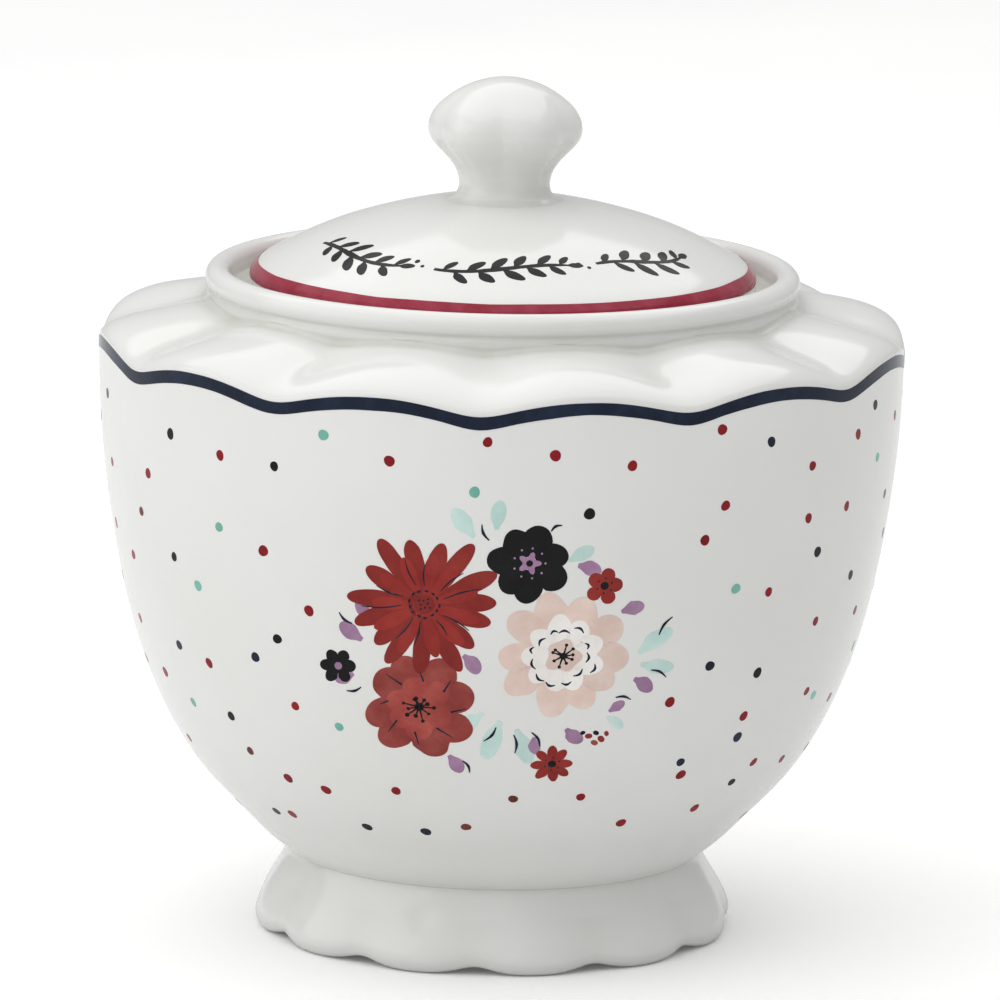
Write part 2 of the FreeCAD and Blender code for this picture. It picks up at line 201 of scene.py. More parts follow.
def round_corner(p, c, q, t, n=6):
    """Points that round corner c between p and q, starting t from it."""
    p, c, q = np.array(p, float), np.array(c, float), np.array(q, float)
    a = c + (p - c) / max(np.linalg.norm(p - c), 1e-9) * min(t, np.linalg.norm(p - c) * 0.48)
    b = c + (q - c) / max(np.linalg.norm(q - c), 1e-9) * min(t, np.linalg.norm(q - c) * 0.48)
    return [tuple((1 - k) ** 2 * a + 2 * k * (1 - k) * c + k * k * b) for k in np.linspace(0, 1, n + 1)]


def outline(spec):
    """spec: list of (r, z, rounding) corners; returns the rounded polyline."""
    out = []
    for i, (r, z, t) in enumerate(spec):
        if t and 0 < i < len(spec) - 1:
            out += round_corner(spec[i - 1][:2], (r, z), spec[i + 1][:2], t)
        else:
            out.append((r, z))
    return out


# -------------------------------------------------------------------- materials
def srgb(r, g, b):
    def lin(v):
        v /= 255.0
        return v / 12.92 if v <= 0.04045 else ((v + 0.055) / 1.055) ** 2.4
    return (lin(r), lin(g), lin(b), 1.0)


def noise_node(nt, coords, scale, detail=3.0, rough=0.5):
    node = nt.nodes.new("ShaderNodeTexNoise")
    node.inputs["Scale"].default_value = scale
    node.inputs["Detail"].default_value = detail
    node.inputs["Roughness"].default_value = rough
    nt.links.new(coords.outputs["Object"], node.inputs["Vector"])
    return node


def ramp(nt, source, stops):
    node = nt.nodes.new("ShaderNodeValToRGB")
    els = node.color_ramp.elements
    while len(els) < len(stops):
        els.new(0.5)
    for el, (pos, col) in zip(els, stops):
        el.position = pos
        el.color = col
    nt.links.new(source, node.inputs["Fac"])
    return node


def grey(v):
    return (v, v, v, 1.0)


def glaze_base(nt, bsdf, coords, ripple=1.0, coat=0.25, level=0.5):
    """The gloss that glaze and printed colour share: gentle ripple and uneven shine."""
    uneven = noise_node(nt, coords, 42.0, 4.0, 0.55)
    rough = ramp(nt, uneven.outputs["Fac"], [(0.3, grey(0.12)), (0.72, grey(0.20))])
    nt.links.new(rough.outputs["Color"], bsdf.inputs["Roughness"])
    bsdf.inputs["IOR"].default_value = 1.5
    bsdf.inputs["Coat Weight"].default_value = coat
    bsdf.inputs["Specular IOR Level"].default_value = level
    bsdf.inputs["Coat Roughness"].default_value = 0.08
    slow = noise_node(nt, coords, 55.0, 2.0, 0.4)
    peel = noise_node(nt, coords, 620.0, 2.0, 0.5)
    b1 = nt.nodes.new("ShaderNodeBump")
    b1.inputs["Strength"].default_value = 0.5 * ripple
    b1.inputs["Distance"].default_value = 0.00022
    nt.links.new(slow.outputs["Fac"], b1.inputs["Height"])
    b2 = nt.nodes.new("ShaderNodeBump")
    b2.inputs["Strength"].default_value = 0.35 * ripple
    b2.inputs["Distance"].default_value = 0.000012
    nt.links.new(peel.outputs["Fac"], b2.inputs["Height"])
    nt.links.new(b1.outputs["Normal"], b2.inputs["Normal"])
    nt.links.new(b2.outputs["Normal"], bsdf.inputs["Normal"])


def new_material(name):
    mat = bpy.data.materials.new(name)
    mat.use_nodes = True
    nt = mat.node_tree
    bsdf = nt.nodes["Principled BSDF"]
    coords = nt.nodes.new("ShaderNodeTexCoord")
    return mat, nt, bsdf, coords


def glaze_material():
    mat, nt, bsdf, coords = new_material("white_glaze")
    cloud = noise_node(nt, coords, 24.0, 3.0, 0.5)
    body = ramp(nt, cloud.outputs["Fac"], [(0.3, srgb(227, 227, 224)), (0.7, srgb(232, 232, 230))])
    # glaze gathers, a little greyer and greener, where the form turns inward; this tint is also painted shade,
    # darkening creases, seams and hollows where shade falls
    at = nt.nodes.new("ShaderNodeAttribute")
    at.attribute_name = "pool_and_shade"
    breakup = noise_node(nt, coords, 260.0, 3.0, 0.6)
    mul = nt.nodes.new("ShaderNodeMath")
    mul.operation = "MULTIPLY"
    br = ramp(nt, breakup.outputs["Fac"], [(0.25, grey(0.6)), (0.75, grey(1.0))])
    nt.links.new(at.outputs["Fac"], mul.inputs[0])
    nt.links.new(br.outputs["Color"], mul.inputs[1])
    mix = nt.nodes.new("ShaderNodeMix")
    mix.data_type = "RGBA"
    nt.links.new(mul.outputs["Value"], mix.inputs["Factor"])
    nt.links.new(body.outputs["Color"], mix.inputs["A"])
    mix.inputs["B"].default_value = srgb(200, 203, 191)
    # sparse iron specks and pinholes, as fired earthenware has
    cells = nt.nodes.new("ShaderNodeTexVoronoi")
    cells.inputs["Scale"].default_value = 95.0
    nt.links.new(coords.outputs["Object"], cells.inputs["Vector"])
    dot = ramp(nt, cells.outputs["Distance"], [(0.0, grey(1.0)), (0.018, grey(0.0))])
    gate = noise_node(nt, coords, 31.0, 1.0, 0.5)
    gr = ramp(nt, gate.outputs["Fac"], [(0.60, grey(0.0)), (0.64, grey(0.5))])
    mul2 = nt.nodes.new("ShaderNodeMath")
    mul2.operation = "MULTIPLY"
    nt.links.new(dot.outputs["Color"], mul2.inputs[0])
    nt.links.new(gr.outputs["Color"], mul2.inputs[1])
    mix2 = nt.nodes.new("ShaderNodeMix")
    mix2.data_type = "RGBA"
    nt.links.new(mul2.outputs["Value"], mix2.inputs["Factor"])
    nt.links.new(mix.outputs["Result"], mix2.inputs["A"])
    mix2.inputs["B"].default_value = srgb(150, 140, 125)
    nt.links.new(mix2.outputs["Result"], bsdf.inputs["Base Color"])
    glaze_base(nt, bsdf, coords)
    return mat


def ink_material(name, dark, mid, light, grain=420.0):
    """Printed colour under the glaze: washy, with a stippled grain and uneven load."""
    mat, nt, bsdf, coords = new_material(name)
    wash = noise_node(nt, coords, 210.0, 5.0, 0.62)
    body = ramp(nt, wash.outputs["Fac"], [(0.30, srgb(*dark)), (0.5, srgb(*mid)), (0.72, srgb(*light))])
    stipple = noise_node(nt, coords, grain * 6, 2.0, 0.7)
    st = ramp(nt, stipple.outputs["Fac"], [(0.55, grey(0.0)), (0.8, grey(0.35))])
    at = nt.nodes.new("ShaderNodeAttribute")
    at.attribute_name = "tone"
    hsv = nt.nodes.new("ShaderNodeHueSaturation")
    add = nt.nodes.new("ShaderNodeMath")
    add.operation = "ADD"
    add.inputs[1].default_value = 1.0
    nt.links.new(at.outputs["Fac"], add.inputs[0])
    nt.links.new(add.outputs["Value"], hsv.inputs["Value"])
    nt.links.new(body.outputs["Color"], hsv.inputs["Color"])
    mix = nt.nodes.new("ShaderNodeMix")
    mix.data_type = "RGBA"
    nt.links.new(st.outputs["Color"], mix.inputs["Factor"])
    nt.links.new(hsv.outputs["Color"], mix.inputs["A"])
    mix.inputs["B"].default_value = srgb(*light)
    nt.links.new(mix.outputs["Result"], bsdf.inputs["Base Color"])
    glaze_base(nt, bsdf, coords, coat=0.0, level=0.3)
    return mat


GLAZE = glaze_material()
INK = {
    "red": ink_material("ink_red", (136, 40, 36), (146, 48, 42), (156, 60, 52)),
    "deep": ink_material("ink_deep_red", (104, 14, 16), (118, 22, 24), (134, 34, 36)),
    "dot": ink_material("ink_dot_red", (130, 10, 24), (142, 18, 30), (154, 32, 42)),
    "brick": ink_material("ink_brick", (142, 60, 56), (156, 72, 66), (170, 90, 82)),
    "black": ink_material("ink_black", (8, 9, 10), (13, 14, 15), (24, 25, 27)),
    "navy": ink_material("ink_navy", (14, 26, 48), (20, 34, 56), (34, 50, 74)),
    "mint": ink_material("ink_mint", (190, 216, 211), (200, 223, 218), (214, 231, 227)),
    "lilac": ink_material("ink_lilac", (154, 120, 152), (166, 132, 162), (182, 152, 178)),
    "blush": ink_material("ink_blush", (224, 200, 190), (230, 209, 199), (236, 220, 212)),
    "paper": ink_material("ink_cream", (236, 232, 226), (242, 239, 235), (247, 245, 243)),
    "rust": ink_material("ink_rust", (98, 44, 34), (112, 54, 42), (128, 70, 56)),
    "raspberry": ink_material("ink_raspberry", (146, 38, 58), (160, 54, 74), (170, 72, 90)),
    "teal": ink_material("ink_teal", (118, 180, 164), (130, 190, 174), (146, 202, 188)),
}

# ----------------------------------------------------------------- bowl body
COLS = 480
phi = np.linspace(0, 2 * math.pi, COLS, endpoint=False)
near_crease = (1 - swell(phi)) ** 3

EDGE_T = 0.6


def shoulder_edge(phi):
    """Height where the shoulder meets the wall, and the two ends of the rounding."""
    ze = shoulder_z(np.full_like(phi, RIM), phi)
    za = shoulder_z(np.full_like(phi, RIM - 0.6), phi)
    s = (za - ze) / 0.6
    ln = np.sqrt(1 + s * s)
    q0 = (RIM - EDGE_T / ln, ze + EDGE_T * s / ln)
    q1 = (wall_r(ze - EDGE_T), ze - EDGE_T)
    return ze, q0, q1


def edge_point(phi, k):
    """A point of the rounding, k from 0 (shoulder) to 1 (wall)."""
    ze, q0, q1 = shoulder_edge(phi)
    r = (1 - k) ** 2 * q0[0] + 2 * k * (1 - k) * RIM + k * k * q1[0]
    z = (1 - k) ** 2 * q0[1] + 2 * k * (1 - k) * ze + k * k * q1[1]
    return r, z


def build_bowl():
    rows, pool_and_shade = [], []

    # p weights the greyer tint: glaze pooling plus painted shade, highest at the foot seam, creases, the collar hollow
    # and inside the gallery
    def add(r, z, p=0.0):
        rows.append((r, z))
        pool_and_shade.append(p)

    for r in (6.0, 14.0, 21.0, 26.5, 27.4, 28.5, 30.0, 31.0, 31.2):
        add(r, JOINT, 0.5 if r > 26 else 0.0)
    # wall
    zs = [12.2, 12.35, 12.5, 12.65, 12.8, 12.95, 13.1] + list(np.linspace(13.6, 30, 20)) + list(np.linspace(31, 83.5, 46))
    for z in zs:
        add(wall_r(z), z, 0.55 * math.exp(-(z - JOINT) / 0.7))
    ze, q0, q1 = shoulder_edge(phi)
    for k in (0.25, 0.5, 0.75, 0.9):
        z = 83.5 + (q1[1] - 83.5) * k
        add(wall_r(z), z)
    for k in np.linspace(1, 0, 8):
        r, z = edge_point(phi, k)
        add(r, z, 0.08 * near_crease)
    # shoulder, from the edge in to the collar
    r_out = q0[0]
    r_in = 44.2 + 1.3
    for k in np.linspace(0, 1, 25)[1:]:
        r = r_out + (r_in - r_out) * k
        z = shoulder_z(r, phi)
        add(r, z, 0.16 * near_crease * smooth(0.3 + k) + 0.35 * smooth((k - 0.9) * 8))
    # hollow where the collar rises
    z_in = shoulder_z(np.full_like(phi, r_in), phi)
    z_c = shoulder_z(np.full_like(phi, 44.2), phi)
    top = z_c + 0.75
    for k in np.linspace(0, 1, 8)[1:]:
        r = (1 - k) ** 2 * r_in + 2 * k * (1 - k) * 44.2 + k * k * 44.2
        z = (1 - k) ** 2 * z_in + 2 * k * (1 - k) * z_c + k * k * top
        add(r, z, 0.5 + 0.2 * near_crease)
    for k, r, z in ((0.5, 44.18, 96.5), (0.85, 44.15, 96.55)):
        add(44.2 + (r - 44.2) * k, top + (z - top) * k, 0.2)
    bead = arc3((43.75, 97.35), (42.95, 100.68), (40.75, 98.6), 26)
    for r, z in outline([(44.16, 96.5, 0), (44.12, 96.75, 0.2), (43.72, 97.4, 0.35), (bead[1][0], bead[1][1], 0)])[1:-1]:
        add(r, z, 0.3)
    for r, z in bead[1:]:
        add(r, z)
    # inside: collar, gallery ledge, throat, shoulder underside, wall, floor
    inner = outline([
        (bead[-1][0], bead[-1][1], 0), (40.72, 98.4, 0.2), (40.7, 97.2, 0.9), (33.8, 97.2, 0.8), (33.8, 94.6, 0.8),
        (35.4, 93.55, 0.6), (40.1, 92.45, 1.5), (44.0, 91.0, 1.5), (53.0, 87.6, 2.0), (55.9, 85.7, 1.4), (56.9, 83.0, 1.2),
        (56.8, 81.0, 0)])[1:]
    for r, z in joined(inner):
        add(r, z, 0.55 if (z < 98.3 and r > 39) or (z < 96 and r < 45) else 0.15)
    isp = Spline([17.6, 21.6, 26.4, 32.2, 39.6, 49.2, 58.8, 68.4, 78.2, 83.0],
                 [31.0, 36.2, 40.8, 44.95, 48.7, 51.95, 54.1, 55.6, 56.55, 56.9])
    for z in list(np.linspace(79.5, 30, 24)) + list(np.linspace(28.5, 18.0, 9)):
        add(isp(z), z)
    for r, z in [(30.2, 17.1), (29.0, 16.6), (27.7, 16.2), (26.0, 15.85), (24.0, 15.6), (18.0, 15.4), (11.0, 15.28), (5.0, 15.22)]:
        add(r, z, 0.2)
    return revolve_rows("glazed_bowl", rows, phi, GLAZE, JOINT, 15.2, pool_and_shade)


bowl = build_bowl()
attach(bowl, "bowl")
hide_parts("bowl_body")

# ------------------------------------------------------------------------ foot
FOOT_Z = [-1.0, 0.0, 1.6, 3.6, 6.8, 9.8, 12.2]
foot_crest = Spline(FOOT_Z, [34.7, 35.3, 36.1, 35.85, 34.2, 32.35, 31.1])
foot_crease = Spline(FOOT_Z, [34.1, 34.6, 35.2, 35.0, 33.65, 32.1, 31.1])
FOOT_TURN = math.radians(1.2)
fphi = phi + FOOT_TURN


def foot_r(z):
    seam = 0.14 * np.clip(1 - (JOINT - z) / 1.2, 0, 1) ** 2
    return foot_crease(z) + (foot_crest(z) - foot_crease(z)) * swell(fphi) + seam


def build_foot():
    rows, pool_and_shade = [], []
    low = (1 - swell(fphi)) ** 1.25  # 1 in a valley
    lift = 1.12 * low
    one = np.ones_like(phi)

    # p weights the greyer tint: glaze pooling plus painted shade, highest at the seam under the bowl, in the flute
    # valleys and inside the ring
    def add(r, z, p=0.0):
        rows.append((r, z))
        pool_and_shade.append(p)

    for z in [12.2, 12.0, 11.8, 11.6, 11.4, 11.2, 11.0, 10.5, 10.0, 9.4, 8.8, 8.2]:
        add(foot_r(z * one), z, 0.55 * math.exp(-(12.2 - z) / 0.6))
    for k in np.linspace(0, 1, 14)[1:]:
        z = 8.2 + (1.95 - 8.2) * k + lift * k ** 1.6
        add(foot_r(z - lift * 0.55 * k), z, 0.12 * low)
    # rounded rim
    zb = 1.95 + lift
    ro = foot_r(zb - lift * 0.55)
    corner_o = (foot_r(0.3 * one) + 0.5, lift)
    corner_i = (32.5 * one, lift)
    ctrl = [(ro, zb), corner_o, ((corner_o[0] + corner_i[0]) / 2, lift)]
    for k in np.linspace(0, 1, 10)[1:]:
        r = (1 - k) ** 2 * ctrl[0][0] + 2 * k * (1 - k) * ctrl[1][0] + k * k * ctrl[2][0]
        z = (1 - k) ** 2 * ctrl[0][1] + 2 * k * (1 - k) * ctrl[1][1] + k * k * ctrl[2][1]
        add(r, z, 0.15)
    ctrl = [ctrl[2], corner_i, (31.7 * one, 1.7 + lift * 0.8)]
    for k in np.linspace(0, 1, 10)[1:]:
        r = (1 - k) ** 2 * ctrl[0][0] + 2 * k * (1 - k) * ctrl[1][0] + k * k * ctrl[2][0]
        z = (1 - k) ** 2 * ctrl[0][1] + 2 * k * (1 - k) * ctrl[1][1] + k * k * ctrl[2][1]
        add(r, z, 0.15)
    for r, z in ((30.6, 3.9), (29.8, 5.2), (29.1, 6.9), (28.5, 8.6), (28.0, 10.2), (27.6, 11.5), (27.42, 12.05), (27.4, 12.2)):
        add(r, z, 0.3)
    add(29.4, 12.2)
    rows.append(rows[0])
    pool_and_shade.append(pool_and_shade[0])
    return revolve_rows("glazed_foot", rows, phi, GLAZE, None, None, pool_and_shade, flip=True)


foot = build_foot()
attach(foot, "bowl")
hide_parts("foot")

# ------------------------------------------------------------------------- lid
DOME_R = [0.0, 7.3, 13.0, 21.0, 29.0, 34.3, 36.8, 37.6]
DOME_Z = [111.05, 111.0, 110.12, 108.1, 105.15, 102.5, 100.93, 100.15]
dome = Spline(DOME_R, DOME_Z)


def build_lid():
    rows, pool_and_shade = [], []
    # second list holds the greyer tint's weight: glaze pooling plus painted shade, highest round the knob and under the
    # edge
    for r in (2.0, 4.0, 6.0, 6.6, 7.0, 7.3, 7.6):
        rows.append((r, 111.0 if r <= 7.3 else float(dome(r))))
        pool_and_shade.append(0.5 if r > 6 else 0.0)
    for r in np.linspace(8.2, 36.8, 34):
        rows.append((r, float(dome(r))))
        pool_and_shade.append(0.55 * math.exp(-(r - 7.3) / 0.8))
    edge = outline([(36.8, float(dome(36.8)), 0), (37.85, 99.9, 0.9), (37.85, 97.9, 0.5), (37.3, 97.2, 0.4), (33.4, 97.2, 0.5),
                    (32.85, 96.2, 0.5), (32.5, 91.7, 0.9), (30.2, 91.7, 0.9), (29.6, 98.6, 0)])[1:]
    for r, z in joined(edge):
        rows.append((r, z))
        pool_and_shade.append(0.35 if r < 37 and z < 97.6 else 0.05)
    inner = Spline([0.0, 11.0, 21.0, 27.0, 29.6], [107.6, 106.9, 104.35, 101.6, 98.6])
    for r, z in ((29.3, 99.6), (28.6, 100.5), (27.5, 101.35), (26.0, 102.15), (23.5, 103.3), (20.0, 104.65), (15.0, 106.05), (9.0, 107.1), (4.0, 107.5)):
        rows.append((r, z))
        pool_and_shade.append(0.1)
    p = np.linspace(0, 2 * math.pi, 360, endpoint=False)
    return revolve_rows("glazed_lid", rows, p, GLAZE, 111.0, 107.6, pool_and_shade, flip=True)


lid = build_lid()
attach(lid, "lid")
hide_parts("lid")


def build_knob():
    prof = [(9.3, float(dome(9.3)) - 0.05), (8.9, float(dome(8.9)) + 0.0), (8.4, float(dome(8.4)) + 0.07), (7.9, float(dome(7.9)) + 0.22),
            (7.4, float(dome(7.4)) + 0.5), (7.05, 111.95), (6.86, 112.5), (6.78, 113.1), (6.82, 113.65),
            (6.95, 114.25), (7.25, 115.15), (7.75, 116.0), (8.4, 116.85), (9.2, 117.7), (10.1, 118.6), (10.85, 119.5), (11.36, 120.5),
            (11.52, 121.6), (11.35, 122.7), (10.9, 123.75), (10.2, 124.75), (9.2, 125.7), (8.0, 126.6), (6.7, 127.4),
            (5.3, 128.07), (3.9, 128.56), (2.5, 128.9), (1.2, 129.1)]
    p = np.array(prof)
    t = np.r_[0, np.cumsum(np.hypot(*np.diff(p, axis=0).T))]
    sr, sz = Spline(t, p[:, 0]), Spline(t, p[:, 1])
    n = 300
    ph = np.linspace(0, 2 * math.pi, n, endpoint=False)
    psi = (ph % (math.pi / 3)) - math.pi / 6
    u = 1 - np.abs(psi) / (math.pi / 6)
    u = np.sqrt(u * u + 0.16 ** 2) - 0.05
    valley = np.clip(1 - u, 0, 1) ** 1.6
    heights = [111.0, 112.0, 113.5, 115.5, 117.5, 119.5, 121.0, 122.5, 124.5, 126.5, 128.0, 129.2]
    depths = [0.0, 0.22, 0.42, 0.62, 0.92, 1.18, 1.25, 1.15, 0.78, 0.36, 0.12, 0.0]
    cut = Spline(heights, depths)
    rows, pool_and_shade = [], []
    for s in np.linspace(0, t[-1], 84):
        r, z = float(sr(s)), float(sz(s))
        a = max(0.0, float(cut(max(z, 111.0))))
        rows.append((np.minimum(r - a * valley, r), z))
        # greyer tint where the knob meets the lid: glaze pooling plus painted shade
        pool_and_shade.append(0.5 * math.exp(-(z - 110.9) / 0.9))
    return revolve_rows("glazed_knob", rows, ph, GLAZE, float(dome(9.3)) - 0.05, 129.18, pool_and_shade)


knob = build_knob()
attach(knob, "lid")
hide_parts("lid_knob")

# --------------------------------------------------- printed colour, thin shells
SINK = 0.06


def thin(lift):
    """Layer order as given, pressed down to a few hundredths of a millimetre."""
    return 0.012 + 0.45 * max(lift - 0.015, 0.0)


class Print:
    """Collects flat shapes drawn in a surface's own millimetres and lays them on
    it as closed shells a few hundredths of a millimetre thick."""

    def __init__(self, place):
        self.place = place  # (u, v, height) arrays in mm -> xyz in mm
        self.v, self.f, self.tone, self.n = [], [], [], 0
        self.normal = []

    def _add(self, top, low, faces, tone):
        d = top - low
        d /= np.linalg.norm(d, axis=1)[:, None]
        self.normal += [d, -d]
        self.v += [top, low]
        self.tone.append(np.full(len(top) + len(low), tone))
        self.f += [[i + self.n for i in f] for f in faces]
        self.n += len(top) + len(low)

    def grid(self, uv, lift, tone=0.0):
        lift = thin(lift)
        uv = np.asarray(uv, float)
        m, n = uv.shape[:2]
        flat = uv.reshape(-1, 2)
        top = self.place(flat[:, 0], flat[:, 1], lift)
        low = self.place(flat[:, 0], flat[:, 1], -SINK)
        k = m * n
        faces = []
        for i in range(m - 1):
            for j in range(n - 1):
                a, b, c, d = i * n + j, i * n + j + 1, (i + 1) * n + j + 1, (i + 1) * n + j
                faces += [[a, b, c, d], [k + d, k + c, k + b, k + a]]
        ring = [j for j in range(n)] + [i * n + n - 1 for i in range(1, m)] + \
               [(m - 1) * n + j for j in range(n - 2, -1, -1)] + [i * n for i in range(m - 2, 0, -1)]
        for a, b in zip(ring, ring[1:] + ring[:1]):
            faces.append([b, a, k + a, k + b])
        mid = (m // 2) * n + n // 2
        face = np.cross(top[mid] - top[mid - n], top[mid - 1] - top[mid])
        if face @ (top[mid] - low[mid]) < 0:  # drawn left-handed: turn every face over
            faces = [f[::-1] for f in faces]
        self._add(top, low, faces, tone)

    def blob(self, cu, cv, radius, lift, tone=0.0, rings=2, seg=20):
        """radius: number or function of angle."""
        lift = thin(lift)
        th = np.linspace(0, 2 * math.pi, seg, endpoint=False)
        rr = np.array([radius(a) for a in th]) if callable(radius) else np.full(seg, radius)
        u, v = [np.array([cu])], [np.array([cv])]
        for k in range(1, rings + 1):
            u.append(cu + rr * np.cos(th) * k / rings)
            v.append(cv + rr * np.sin(th) * k / rings)
        u, v = np.concatenate(u), np.concatenate(v)
        top, low = self.place(u, v, lift), self.place(u, v, -SINK)
        k = len(u)
        faces = []
        for j in range(seg):
            a, b = 1 + j, 1 + (j + 1) % seg
            faces += [[0, a, b], [k, k + b, k + a]]
            for q in range(rings - 1):
                a0, b0 = 1 + q * seg + j, 1 + q * seg + (j + 1) % seg
                a1, b1 = a0 + seg, b0 + seg
                faces += [[a0, a1, b1, b0], [k + b0, k + b1, k + a1, k + a0]]
            a, b = 1 + (rings - 1) * seg + j, 1 + (rings - 1) * seg + (j + 1) % seg
            faces.append([a, k + a, k + b, b])
        self._add(top, low, faces, tone)

    def stroke(self, pts, widths, lift, tone=0.0, step=0.4, across=3, wobble=0.0, seed=1):
        """A brush stroke along pts; widths are given at the same points."""
        pts = np.asarray(pts, float)
        w = np.asarray(widths, float)
        t = np.r_[0, np.cumsum(np.hypot(*np.diff(pts, axis=0).T))]
        m = max(4, int(t[-1] / step))
        q = np.linspace(0, t[-1], m + 1)
        if len(pts) > 2:
            x, y = Spline(t, pts[:, 0])(q), Spline(t, pts[:, 1])(q)
        else:
            x, y = np.interp(q, t, pts[:, 0]), np.interp(q, t, pts[:, 1])
        ww = np.maximum(np.interp(q, t, w), 0.03)
        if wobble:
            rng = np.random.default_rng(seed)
            ww = ww * (1 + wobble * np.interp(q, np.linspace(0, t[-1], max(3, m // 2)), rng.uniform(-1, 1, max(3, m // 2))))
        dx, dy = np.gradient(x), np.gradient(y)
        ln = np.hypot(dx, dy) + 1e-9
        nx, ny = -dy / ln, dx / ln
        k = np.linspace(-0.5, 0.5, across)
        uv = np.stack([x[:, None] + nx[:, None] * ww[:, None] * k, y[:, None] + ny[:, None] * ww[:, None] * k], 2)
        self.grid(uv, lift, tone)

    def petal(self, cu, cv, angle, start, length, width, lift, tone=0.0, tip=0.45, bend=0.0, seed=1, ragged=0.06, across=5, base=0.35):
        """A rounded brush petal pointing at angle; width is its widest."""
        rng = np.random.default_rng(seed)
        m = max(9, int(length / 0.55))
        t = np.sin(np.linspace(0, 1, m + 1) * math.pi / 2)
        body = base + (1 - base) * smooth(t / (1 - tip))
        end = np.sqrt(np.clip(1 - ((t - (1 - tip)) / tip).clip(0) ** 2, 0, 1))
        w = width * body * end
        w = np.maximum(w * (1 + ragged * np.interp(t, np.linspace(0, 1, 7), rng.uniform(-1, 1, 7))), 0.04)
        along = start + length * t
        side = bend * length * t * t
        k = np.linspace(-0.5, 0.5, across)
        a = along[:, None] + 0 * k
        s = side[:, None] + w[:, None] * k
        ca, sa = math.cos(angle), math.sin(angle)
        self.grid(np.stack([cu + a * ca - s * sa, cv + a * sa + s * ca], 2), lift, tone)

    def done(self, name, material, body):
        obj = make_mesh(name, np.concatenate(self.v) * MM, self.f, material, {"tone": np.concatenate(self.tone)}, np.concatenate(self.normal))
        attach(obj, body)
        return obj


# the wall, as u along the round and v up the slope from a centre
ZT = np.linspace(JOINT, 92.0, 1600)
RT = wall_r(ZT)
ST = np.r_[0, np.cumsum(np.hypot(np.diff(ZT), np.diff(RT)))]


def wall_place(az0, z0):
    s0 = float(np.interp(z0, ZT, ST))

    def place(u, v, lift):
        s = s0 + np.asarray(v, float)
        z = np.interp(s, ST, ZT)
        r = wall_r(z)
        slope = (wall_r(z + 0.2) - wall_r(z - 0.2)) / 0.4
        ln = np.sqrt(1 + slope * slope)
        az = az0 + np.asarray(u, float) / r
        rr, zz = r + lift / ln, z - lift * slope / ln
        return np.stack([rr * np.sin(az), -rr * np.cos(az), zz], 1)
    return place


def dome_place(az0, r0):
    def place(u, v, lift):
        r = r0 - np.asarray(v, float)
        z = dome(r)
        slope = (dome(r + 0.2) - dome(r - 0.2)) / 0.4
        ln = np.sqrt(1 + slope * slope)
        az = az0 + np.asarray(u, float) / r0
        rr, zz = r - lift * slope / ln, z + lift / ln
        return np.stack([rr * np.sin(az), -rr * np.cos(az), zz], 1)
    return place


# ---- navy line round the shoulder's edge
def navy_line():
    n = 960
    p = np.linspace(0, 2 * math.pi, n, endpoint=False)
    rng = np.random.default_rng(4)
    knots = rng.uniform(-1, 1, 72)
    wob = np.interp(p, np.linspace(0, 2 * math.pi, 73), np.r_[knots, knots[0]])
    knots = rng.uniform(-1, 1, 60)
    wob2 = np.interp(p, np.linspace(0, 2 * math.pi, 61), np.r_[knots, knots[0]])
    ze, q0, q1 = shoulder_edge(p)
    rows = []
    top = ze - 0.60 + 0.04 * wob2
    bottom = ze - 2.40 - 0.10 * wob
    for k in (0.0, 0.33, 0.66, 1.0):
        z = top + (bottom - top) * k
        rows.append((wall_r(z), z))
    rows = np.array([[r, z] for r, z in rows])  # rows, (r z), n
    d = np.gradient(rows, axis=0)
    ln = np.sqrt(d[:, 0] ** 2 + d[:, 1] ** 2) + 1e-9
    nr, nz = -d[:, 1] / ln, d[:, 0] / ln
    up = [(rows[i, 0] + 0.045 * nr[i], rows[i, 1] + 0.045 * nz[i]) for i in range(len(rows))]
    dn = [(rows[i, 0] - 0.05 * nr[i], rows[i, 1] - 0.05 * nz[i]) for i in range(len(rows) - 1, -1, -1)]
    ring = up + dn + [up[0]]
    lean = [(nr[i], nz[i]) for i in range(len(rows))] + [(-nr[i], -nz[i]) for i in range(len(rows) - 1, -1, -1)] + [(nr[0], nz[0])]
    obj = revolve_rows("navy_line", ring, p, INK["navy"], flip=True, lean=lean)
    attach(obj, "bowl")


navy_line()


def raspberry_band():
    n = 480
    p = np.linspace(0, 2 * math.pi, n, endpoint=False)
    rng = np.random.default_rng(9)
    knots = rng.uniform(-1, 1, 40)
    wob = np.interp(p, np.linspace(0, 2 * math.pi, 41), np.r_[knots, knots[0]])
    r_top = 36.62 + 0.07 * wob
    edge = outline([(36.8, float(dome(36.8)), 0), (37.85, 99.9, 0.9), (37.85, 97.9, 0)])[1:-1]
    rows = []
    for k in (0.0, 0.4, 0.8):
        r = r_top + (36.95 - r_top) * k
        rows.append((r, dome(np.minimum(r, 36.8)) - np.maximum(r - 36.8, 0) * 0.98))
    for r, z in edge[1:]:
        rows.append((np.full(n, r), np.full(n, z)))
    rows.append((np.full(n, 37.85), 99.25 - 0.05 * wob))
    rows = np.array([[r, z] for r, z in rows])
    d = np.gradient(rows, axis=0)
    ln = np.sqrt(d[:, 0] ** 2 + d[:, 1] ** 2) + 1e-9
    nr, nz = -d[:, 1] / ln, d[:, 0] / ln
    up = [(rows[i, 0] + 0.045 * nr[i], rows[i, 1] + 0.045 * nz[i]) for i in range(len(rows))]
    dn = [(rows[i, 0] - 0.05 * nr[i], rows[i, 1] - 0.05 * nz[i]) for i in range(len(rows) - 1, -1, -1)]
    ring = up + dn + [up[0]]
    lean = [(nr[i], nz[i]) for i in range(len(rows))] + [(-nr[i], -nz[i]) for i in range(len(rows) - 1, -1, -1)] + [(nr[0], nz[0])]
    obj = revolve_rows("raspberry_band", ring, p, INK["raspberry"], flip=True, lean=lean)
    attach(obj, "lid")


raspberry_band()

